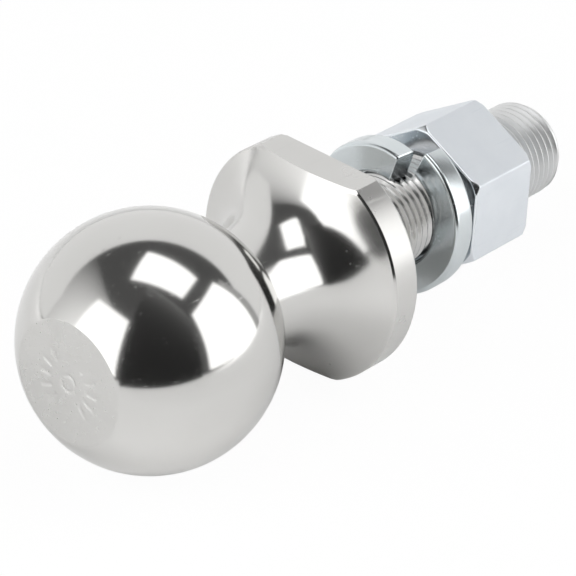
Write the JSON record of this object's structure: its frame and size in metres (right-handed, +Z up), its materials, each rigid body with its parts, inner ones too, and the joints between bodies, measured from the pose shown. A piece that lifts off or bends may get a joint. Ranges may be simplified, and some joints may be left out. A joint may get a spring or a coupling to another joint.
{
  "type": "threaded tow ball",
  "caption": "Trailer hitch ball turned in one piece with a flared neck, a flange with wrench flats and a threaded shank, with its split spring washer and hex nut.",
  "frame": {"origin": "middle of the flange's seat, the face that lies on the drawbar, on the stud's axis", "axes": "+X along the stud from the ball towards the threaded end, +Z up and normal to the flange's wrench flats, +Y to the left of +X"},
  "size_m": [0.1294, 0.0476, 0.0476],
  "materials": {
    "bright_plating": "polished bright plating with fine turning marks on the flange and the thread",
    "washer_zinc": "bright zinc plating on square-edged spring wire, satin",
    "nut_zinc": "bright zinc plating, satin"
  },
  "bodies": {
    "stud": {"ball_stud": "bright_plating"},
    "washer": {"lock_washer": "washer_zinc"},
    "nut": {"hex_nut": "nut_zinc"}
  },
  "joints": [
    {"name": "nut_turn", "type": "hinge", "parent": "washer", "child": "nut", "pos_m": [0.0372, 0, 0], "axis": [1, 0, 0], "range_deg": [-3583, 3764]},
    {"name": "washer_slide", "type": "slide", "parent": "stud", "child": "washer", "axis": [1, 0, 0], "range_m": [-0.01581, 0.01661]}
  ],
  "couplings": [
    {"joint": "washer_slide", "follows": "nut_turn", "m_per_rad": 0.00025266}
  ]
}
